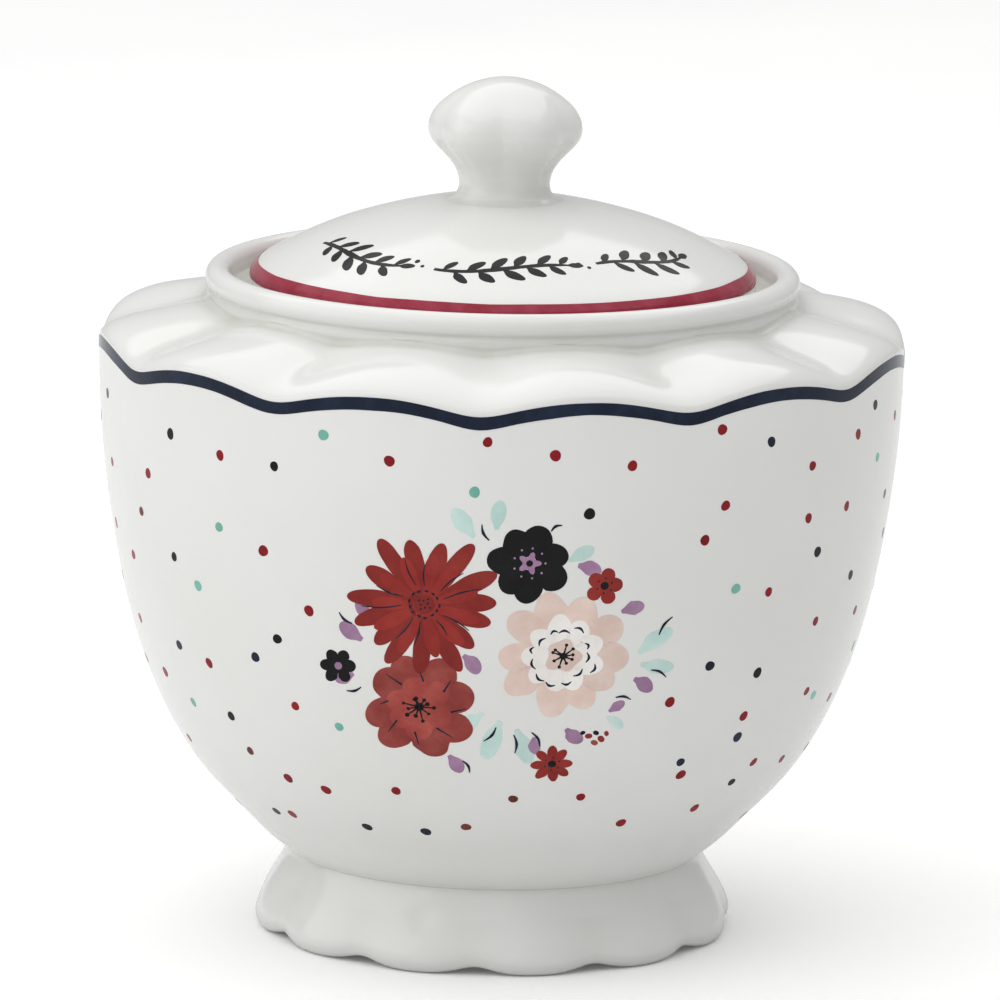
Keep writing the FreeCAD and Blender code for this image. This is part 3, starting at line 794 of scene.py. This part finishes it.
# ---- scattered dots: (colour, azimuth in degrees, height in mm)
FRONT_DOTS = [
    ("black", -50.4, 81.0), ("black", -30.0, 79.2), ("black", -52.0, 62.2), ("black", -31.6, 52.9), ("black", -45.4, 38.7),
    ("black", -46.7, 22.8), ("black", -22.9, 23.2), ("black", 15.5, 74.5), ("black", 69.2, 84.9), ("black", 55.9, 64.9),
    ("black", 67.5, 59.4), ("black", 46.8, 47.6), ("black", 50.4, 29.4), ("dot", -39.7, 79.5), ("dot", -57.1, 73.9),
    ("dot", -12.4, 81.7), ("dot", 1.2, 85.1), ("dot", 10.5, 83.2), ("dot", 21.4, 81.4), ("dot", -32.6, 66.2),
    ("dot", -25.5, 58.0), ("dot", -47.4, 46.7), ("dot", -30.2, 42.6), ("dot", -64.1, 42.2), ("dot", -36.5, 30.0),
    ("dot", -28.6, 29.1), ("dot", -14.5, 30.4), ("dot", -41.5, 23.1), ("dot", 18.2, 30.0), ("dot", 27.9, 24.8),
    ("dot", 36.6, 32.4), ("dot", 44.0, 25.8), ("dot", 35.0, 85.8), ("dot", 52.4, 78.4), ("dot", 63.8, 81.4),
    ("dot", 36.2, 74.4), ("dot", 52.6, 70.5), ("dot", 62.3, 70.8), ("dot", 33.2, 69.5), ("dot", 46.0, 60.2),
    ("dot", 58.7, 53.8), ("dot", 30.7, 44.8), ("dot", 46.3, 40.8), ("dot", 54.0, 32.2), ("dot", 64.6, 31.0),
    ("dot", 62.1, 42.3), ("teal", -22.1, 84.7), ("teal", -0.5, 77.7), ("teal", -40.7, 68.6), ("teal", -46.8, 58.7),
    ("teal", -56.1, 39.0), ("teal", -22.7, 40.2), ("teal", 39.5, 61.5), ("teal", 65.4, 41.1), ("navy", 43.7, 83.1),
    ("navy", -36.4, 49.4), ("navy", -55.1, 48.1), ("navy", -10.5, 23.4), ("navy", 35.6, 34.6), ("navy", 36.8, 49.9),
    ("navy", 46.5, 37.4), ("rust", -60.6, 67.5), ("rust", -43.6, 33.4), ("rust", -2.4, 24.7), ("rust", 6.2, 29.9),
]


def scatter():
    """The rest of the wall, filled at the same spacing; sprays keep a clear space."""
    rng = np.random.default_rng(21)
    got = [(a, z) for _, a, z in FRONT_DOTS]
    out = []
    names = ["dot"] * 11 + ["black"] * 4 + ["teal"] * 2 + ["navy"] * 2 + ["rust"] * 2
    tries = 0
    while len(out) < 150 and tries < 9000:
        tries += 1
        a, z = rng.uniform(66, 294), rng.uniform(19.5, 85.5)
        if rng.uniform() > wall_r(z) / RIM:
            continue
        da = (a - BACK_AZ) * math.pi / 180 * float(wall_r(z))
        if (da / 26.5) ** 2 + ((z - 53.0) / 24.0) ** 2 < 1:
            continue
        if abs(a if a < 180 else 360 - a) < 66:
            continue
        clear = True
        for b, y in got:
            d = abs((a - b + 180) % 360 - 180) * math.pi / 180 * float(wall_r((z + y) / 2))
            if math.hypot(d, z - y) < 8.3:
                clear = False
                break
        if clear:
            got.append((a, z))
            out.append((names[rng.integers(len(names))], a, z))
    return out


BACK_AZ = 184.3
dots = {}
rng = np.random.default_rng(5)
for colour, az, z in FRONT_DOTS + scatter():
    pr = dots.setdefault(colour, Print(None))
    pr.place = wall_place(math.radians(az), z)
    size = rng.uniform(0.70, 0.86)
    k1, k2 = rng.uniform(0.02, 0.07), rng.uniform(0, 6.28)
    pr.blob(0, 0, lambda a: size * (1 + k1 * math.cos(2 * a + k2) + 0.03 * math.cos(3 * a - k2)), 0.04, rng.uniform(-0.10, 0.12), 2, 18)
for colour, pr in dots.items():
    pr.done("dots_" + colour, INK[colour], "bowl")


# ---- sprays of flowers: plain brush-drawn blooms, front and back
def spray(name, az_deg, z0=53.0):
    place = wall_place(math.radians(az_deg), z0)
    layer = {}

    def ink(colour):
        if colour not in layer:
            layer[colour] = Print(place)
        return layer[colour]

    rng = np.random.default_rng(77)
    step = [0]

    def up(base):
        step[0] += 1
        return base + 0.0016 * (step[0] % 12)

    def at(az, z):
        """Flower centres given as azimuth from the camera side, height."""
        s = float(np.interp(z, ZT, ST)) - float(np.interp(z0, ZT, ST))
        return math.radians(az - 4.3) * float(wall_r(z)), s

    # leaves and loose petals behind the blooms
    for az, z, ang, ln, wd, col in (
        (-0.5, 71.0, 2.2, 5.2, 2.6, "mint"), (2.6, 72.2, 1.5, 4.4, 2.3, "mint"), (12.8, 67.5, 0.5, 4.2, 2.2, "mint"),
        (24.3, 53.0, 0.7, 6.2, 2.8, "mint"), (24.8, 51.2, -0.25, 5.4, 2.5, "mint"), (3.6, 42.8, -1.9, 7.0, 3.0, "mint"),
        (6.2, 41.5, -1.2, 6.4, 2.8, "mint"), (1.0, 44.0, -2.5, 5.2, 2.4, "mint"), (20.4, 43.2, -0.6, 3.2, 1.7, "mint"),
        (14.2, 66.8, -0.2, 3.6, 2.4, "lilac"), (21.0, 59.5, 0.3, 3.6, 2.2, "lilac"), (24.0, 49.0, -0.5, 3.6, 2.4, "lilac"),
        (14.0, 41.5, -0.9, 3.4, 2.4, "lilac"), (-17.2, 54.4, 2.6, 4.2, 2.6, "lilac"), (-15.6, 57.6, 2.3, 3.6, 2.0, "lilac"),
        (-2.0, 53.0, -0.7, 3.6, 2.4, "lilac"), (-4.6, 37.0, -0.9, 3.6, 2.2, "lilac"), (-19.0, 49.0, -2.6, 3.2, 2.0, "lilac"),
        (20.6, 44.0, 0.6, 2.8, 1.6, "lilac"), (9.0, 40.2, -1.6, 3.0, 1.8, "lilac"),
    ):
        u, v = at(az, z)
        ink(col).petal(u, v, ang, 0.0, ln, wd, up(0.015), rng.uniform(-0.05, 0.06), 0.5, rng.uniform(-0.15, 0.15), int(az * 7) % 97 + 3, 0.07, 5, 0.25)

    # blush bloom: two rounds of wide soft petals, pale heart, dark stamens
    u, v = at(12.7, 53.0)
    for k in range(10):
        a = k * 2 * math.pi / 10 + rng.uniform(-0.12, 0.12)
        ink("blush").petal(u, v, a, 1.5, 8.2 + rng.uniform(-0.7, 0.7), 5.0, up(0.030), rng.uniform(-0.05, 0.03), 0.42, rng.uniform(-.1, .1), 100 + k, 0.09, 7, 0.45)
    for k in range(9):
        a = k * 2 * math.pi / 9 + 0.3 + rng.uniform(-0.1, 0.1)
        ink("paper").petal(u, v, a, 0.6, 5.6 + rng.uniform(-0.5, 0.5), 3.5, up(0.050), rng.uniform(-0.03, 0.02), 0.45, rng.uniform(-.1, .1), 130 + k, 0.08, 5, 0.4)
    ink("blush").blob(u, v, lambda a: 2.5 + 0.3 * math.cos(5 * a) + 0.2 * math.cos(3 * a + 1), 0.072, -0.06, 3, 26)
    for k in range(13):
        a = k * 2 * math.pi / 13 + rng.uniform(-0.1, 0.1)
        r0 = rng.uniform(3.4, 5.0)
        c, s = math.cos(a), math.sin(a)
        ln = rng.uniform(0.9, 1.7)
        bx = rng.uniform(0.5, 0.9)
        ink("navy").stroke([(u + r0 * c - s * bx, v + r0 * s + c * bx), (u + (r0 + 0.4) * c, v + (r0 + 0.4) * s), (u + r0 * c + s * bx, v + r0 * s - c * bx)],
                           [0.12, 0.42, 0.14], 0.078, 0.0, 0.25, 3)
    for k in range(9):
        a = k * 2 * math.pi / 9 + rng.uniform(-0.25, 0.25)
        q = rng.uniform(1.2, 1.9)
        ink("black").stroke([(u + 0.3 * math.cos(a), v + 0.3 * math.sin(a)), (u + q * math.cos(a + 0.1), v + q * math.sin(a + 0.1))], [0.34, 0.14], 0.084, 0, 0.25, 3)
        ink("black").blob(u + q * math.cos(a + .1), v + q * math.sin(a + .1), 0.26, 0.085, 0, 1, 9)
    ink("black").blob(u, v, 0.55, 0.086, 0, 1, 12)

    # brick bloom: seven broad overlapping petals in two tones
    u, v = at(-8.9, 44.6)
    for ring, (n, r0, ln, wd) in enumerate(((8, 1.2, 7.4, 5.4), (6, 0.4, 5.0, 4.0))):
        for k in range(n):
            a = k * 2 * math.pi / n + 0.25 + ring * 0.4 + rng.uniform(-0.12, 0.12)
            ink("brick").petal(u, v, a, r0, ln + rng.uniform(-0.6, 0.5), wd, up(0.040 + 0.022 * ring), (-0.04, 0.22)[ring] + rng.uniform(-0.08, 0.08), 0.42, rng.uniform(-.12, .12), 200 + 10 * ring + k, 0.08, 7, 0.45)
    for k in range(8):
        a = k * 2 * math.pi / 8 + 0.65
        q0, q1 = 4.4 + rng.uniform(-0.5, 0.5), 6.6 + rng.uniform(-0.8, 0.8)
        ink("navy").stroke([(u + q0 * math.cos(a), v + q0 * math.sin(a)), (u + q1 * math.cos(a + 0.14), v + q1 * math.sin(a + 0.14))], [0.3, 0.1], 0.086, 0, 0.3, 3)
    for k in range(11):
        a = k * 2 * math.pi / 11 + rng.uniform(-0.2, 0.2)
        q = rng.uniform(1.3, 2.5)
        ink("black").stroke([(u + 0.2 * math.cos(a), v + 0.2 * math.sin(a)), (u + q * math.cos(a), v + q * math.sin(a))], [0.3, 0.16], 0.090, 0, 0.25, 3)
        ink("black").blob(u + q * math.cos(a), v + q * math.sin(a), rng.uniform(0.24, 0.36), 0.091, 0, 1, 9)
    ink("black").blob(u, v, 0.7, 0.092, 0, 1, 12)

    # red daisy: long narrow petals in two rounds
    u, v = at(-7.6, 60.6)
    for ring, (n, r0, ln, wd) in enumerate(((15, 2.0, 8.9, 2.7), (11, 1.5, 6.6, 2.1))):
        for k in range(n):
            a = k * 2 * math.pi / n + 0.1 + 0.2 * ring + rng.uniform(-0.05, 0.05)
            ink("red").petal(u, v, a, r0, ln + rng.uniform(-1.3, 0.9) * (1 - 0.5 * ring), wd, up(0.058 + 0.02 * ring), (-0.03, 0.16)[ring] + rng.uniform(-0.07, 0.07), 0.38, rng.uniform(-.07, .07), 300 + 20 * ring + k, 0.07, 5, 0.5)
    ink("red").blob(u, v, 2.4, 0.085, -0.12, 2, 20)
    for k in range(13):  # a ring of dashes and a heart of dots
        a = k * 2 * math.pi / 13 + rng.uniform(-0.08, 0.08)
        q = 2.1 + rng.uniform(-0.12, 0.12)
        ink("navy").stroke([(u + q * math.cos(a - 0.15), v + q * math.sin(a - 0.15)), (u + (q + 0.06) * math.cos(a), v + (q + 0.06) * math.sin(a)), (u + q * math.cos(a + 0.15), v + q * math.sin(a + 0.15))],
                           [0.16, 0.40, 0.16], 0.096, 0, 0.2, 3)
    for k in range(8):
        a = k * 2 * math.pi / 8 + 0.2
        q = 0.95 if k % 2 else 0.55
        ink("navy").blob(u + q * math.cos(a), v + q * math.sin(a), 0.17, 0.096, 0, 1, 9)
    for k in range(15):
        if k % 3 == 2:
            continue
        a = (k + 0.5) * 2 * math.pi / 15 + 0.1
        q0, q1 = 3.0 + rng.uniform(-0.3, 0.4), 8.2 + rng.uniform(-2.4, 1.6)
        m = (q0 + q1) / 2
        ink("navy").stroke([(u + q0 * math.cos(a), v + q0 * math.sin(a)), (u + m * math.cos(a + 0.05), v + m * math.sin(a + 0.05)), (u + q1 * math.cos(a), v + q1 * math.sin(a))],
                           [0.12, 0.26, 0.08], 0.098, 0, 0.35, 3)

    # black windflower with a lilac heart
    u, v = at(7.3, 67.2)
    for k in range(7):
        a = k * 2 * math.pi / 7 + 0.3 + rng.uniform(-0.1, 0.1)
        ink("black").petal(u, v, a, 1.0, 4.9 + rng.uniform(-0.4, 0.4), 4.1, up(0.060), rng.uniform(-0.05, 0.15), 0.45, rng.uniform(-.1, .1), 400 + k, 0.1, 7, 0.45)
    ink("lilac").blob(u, v, lambda a: 1.35 + 0.45 * math.cos(5 * a), 0.082, 0.05, 2, 30)
    ink("black").blob(u, v, 0.5, 0.088, 0, 1, 12)
    for k in range(9):
        a = k * 2 * math.pi / 9
        ink("lilac").blob(u + 2.3 * math.cos(a), v + 2.3 * math.sin(a), 0.17, 0.082, 0.1, 1, 8)

    # small flowers
    for (az, z, col, n, ln, wd, heart) in ((18.2, 63.6, "red", 5, 2.5, 2.2, "black"), (-21.4, 50.0, "black", 6, 2.6, 1.9, "lilac"), (12.3, 35.8, "red", 8, 2.9, 1.5, "black")):
        u, v = at(az, z)
        for k in range(n):
            a = k * 2 * math.pi / n + rng.uniform(-0.1, 0.1)
            ink(col).petal(u, v, a, 0.35, ln + rng.uniform(-0.2, 0.2), wd, up(0.050), rng.uniform(-0.05, 0.2), 0.45, 0, 500 + k + int(z), 0.08, 5, 0.5)
        ink(heart).blob(u, v, 0.62, 0.078, 0, 1, 12)
        if col == "red":
            for k in range(6):
                a = k * math.pi / 3 + 0.4
                ink("navy").blob(u + 1.15 * math.cos(a), v + 1.15 * math.sin(a), 0.15, 0.079, 0, 1, 8)
    # sprig and pen lines
    u, v = at(17.8, 40.2)
    for du, dv, col, r in ((0, 0, "red", 0.5), (1.1, 0.5, "black", 0.42), (1.9, -0.6, "red", 0.55), (0.9, -1.2, "brick", 0.5), (2.7, 0.3, "red", 0.4), (-0.9, 0.6, "black", 0.36)):
        ink(col).blob(u + du, v + dv, lambda a: r * (1 + 0.15 * math.cos(2 * a + du)), 0.05, 0, 1, 12)
    for az, z, ang, ln in ((27.2, 55.6, 0.9, 3.4), (26.6, 50.2, -0.5, 2.8), (3.0, 41.8, -2.2, 3.0), (5.8, 40.6, -1.5, 3.2), (8.6, 41.0, -1.1, 2.8), (1.6, 70.6, 2.0, 2.6),
                           (-18.6, 56.8, 2.5, 2.6), (-18.0, 47.0, -2.8, 2.4), (21.4, 46.2, -0.2, 2.4), (10.2, 72.0, 0.5, 1.8), (-2.4, 36.2, -1.1, 2.4)):
        u, v = at(az, z)
        c, s = math.cos(ang), math.sin(ang)
        ink("navy").stroke([(u, v), (u + ln * 0.5 * c - 0.35 * s, v + ln * 0.5 * s + 0.35 * c), (u + ln * c, v + ln * s)], [0.16, 0.42, 0.12], 0.10, 0, 0.3, 3)
    for colour, pr in layer.items():
        pr.done(name + "_" + colour, INK[colour], "bowl")


spray("front_spray", 4.3)
spray("back_spray", BACK_AZ)


# ---- three black brush sprigs on the lid, in place of any wording
def lid_sprigs():
    pr = Print(dome_place(math.radians(-2.0), 29.4))
    rng = np.random.default_rng(13)
    seed = 60
    for x0, x1, lean in ((-33.0, -13.2, -1), (-7.6, 12.4, 1), (17.2, 33.6, -1)):
        n = 30
        x = np.linspace(x0, x1, n)
        t = (x - x0) / (x1 - x0)
        y = 0.2 + lean * 0.9 * np.sin((t - 0.5) * 4.4)
        w = 0.46 + 0.34 * np.sin(t * math.pi) + 0.10 * np.sin(t * 17)
        pr.stroke(np.stack([x, y], 1), w, 0.05, 0, 0.35, 3, 0.12, seed)
        slope = np.gradient(y, x)
        xs = np.arange(x0 + 1.3, x1 - 0.9, 1.75)
        for k, xc in enumerate(xs):
            yc = float(np.interp(xc, x, y))
            dirn = math.atan(float(np.interp(xc, x, slope)))
            grow = 0.72 + 0.42 * math.sin(math.pi * (xc - x0) / (x1 - x0))
            side = 1 if k % 2 == 0 else -1
            ang = dirn + side * (0.95 + rng.uniform(-0.14, 0.14))
            pr.petal(xc, yc, ang, 0.05, (3.3 + rng.uniform(-0.3, 0.3)) * grow, 1.45 * grow, 0.051, 0, 0.55, -side * 0.16, seed + k, 0.05, 5, 0.14)
        pr.petal(x1 - 0.2, y[-1], math.atan(slope[-1]), 0.0, 2.7, 1.15, 0.051, 0, 0.55, 0.0, seed + 30, 0.05, 5, 0.14)
        seed += 40
    for xd, yd, rd in ((-10.9, 0.9, 0.42), (-9.6, -0.1, 0.30), (14.3, 1.0, 0.42), (15.6, 0.1, 0.30)):
        pr.blob(xd, yd, rd, 0.05, 0, 1, 14)
    pr.done("lid_sprigs", INK["black"], "lid")


lid_sprigs()

# ------------------------------------------------------------------------ stage
AZ = math.radians(2.9)


def stage_material():
    mat, nt, bsdf, coords = new_material("pale_floor")
    n = noise_node(nt, coords, 8.0, 3.0, 0.5)
    col = ramp(nt, n.outputs["Fac"], [(0.3, srgb(250, 250, 250)), (0.7, srgb(253, 253, 252))])
    # the camera sees the floor almost white; the glaze sees a duller one, as in
    # the cut-out photograph, so that the wall isn't lit from below as strongly
    path = nt.nodes.new("ShaderNodeLightPath")
    dull = nt.nodes.new("ShaderNodeMix")
    dull.data_type = "RGBA"
    nt.links.new(path.outputs["Is Camera Ray"], dull.inputs[0])
    dull.inputs[6].default_value = (0.90, 0.90, 0.90, 1.0)
    nt.links.new(col.outputs["Color"], dull.inputs[7])
    nt.links.new(dull.outputs[2], bsdf.inputs["Base Color"])
    bsdf.inputs["Roughness"].default_value = 0.7
    bsdf.inputs["Specular IOR Level"].default_value = 0.1
    glow = nt.nodes.new("ShaderNodeMath")
    glow.operation = "MULTIPLY"
    glow.inputs[1].default_value = 0.12
    nt.links.new(path.outputs["Is Camera Ray"], glow.inputs[0])
    nt.links.new(col.outputs["Color"], bsdf.inputs["Emission Color"])
    nt.links.new(glow.outputs[0], bsdf.inputs["Emission Strength"])
    return mat


bpy.ops.mesh.primitive_plane_add(size=8.0, location=(0, 0, 0))
floor = bpy.context.object
floor.name = "floor"
floor.data.materials.append(stage_material())

world = bpy.data.worlds.new("soft_world")
bpy.context.scene.world = world
world.use_nodes = True
bg = world.node_tree.nodes["Background"]
bg.inputs["Color"].default_value = (1.0, 1.0, 1.0, 1.0)
bg.inputs["Strength"].default_value = 0.56


def area(name, loc, target, size, power, colour=(1, 1, 1), shape_y=None):
    data = bpy.data.lights.new(name, "AREA")
    data.energy = power
    data.color = colour
    data.shape = "RECTANGLE"
    data.size = size
    data.size_y = shape_y or size
    obj = bpy.data.objects.new(name, data)
    bpy.context.scene.collection.objects.link(obj)
    obj.location = loc
    d = Vector(target) - Vector(loc)
    obj.rotation_mode = "QUATERNION"
    obj.rotation_quaternion = d.to_track_quat("-Z", "Y")
    return obj


def from_camera(az, dist, z):
    """A point at an azimuth measured round from the camera, positive to its right."""
    t = math.radians(az) + AZ
    return (dist * math.sin(t), -dist * math.cos(t), z)


area("key_left", from_camera(-72, 0.95, 0.42), (0, 0, 0.06), 1.25, 2.4, (1, 1, 1), 0.75)
area("high_front", from_camera(-12, 1.1, 0.75), (0, 0, 0.06), 1.2, 1.6)
area("top", (-0.05, 0.16, 1.15), (0, 0.03, 0.05), 2.0, 10.8)
bpy.context.scene.view_settings.view_transform = "Standard"
bpy.context.scene.view_settings.gamma = 0.86

# ----------------------------------------------------------------------- camera
D, H, PITCH, YAW, ROLL, FPX = 1.3, 0.31853, 0.19263, 0.00009, 0.0166, 8811.95
cam_data = bpy.data.cameras.new("camera")
cam_data.sensor_width = 36.0
cam_data.lens = 36.0 * FPX / 1000.0
cam_data.clip_start, cam_data.clip_end = 0.05, 30.0
cam = bpy.data.objects.new("camera", cam_data)
bpy.context.scene.collection.objects.link(cam)
ca, sa = math.cos(AZ), math.sin(AZ)
cp, sp = math.cos(PITCH), math.sin(PITCH)
local = Vector((math.sin(YAW) * cp, math.cos(YAW) * cp, -sp))
fwd = Vector((local.x * ca - local.y * sa, local.x * sa + local.y * ca, local.z))
right = fwd.cross(Vector((0, 0, 1))).normalized()
upv = right.cross(fwd)
R = math.cos(ROLL) * right + math.sin(ROLL) * upv
U = -math.sin(ROLL) * right + math.cos(ROLL) * upv
B = -fwd
cam.matrix_world = Matrix(((R.x, U.x, B.x, D * sa), (R.y, U.y, B.y, -D * ca), (R.z, U.z, B.z, H), (0, 0, 0, 1)))
bpy.context.scene.camera = cam
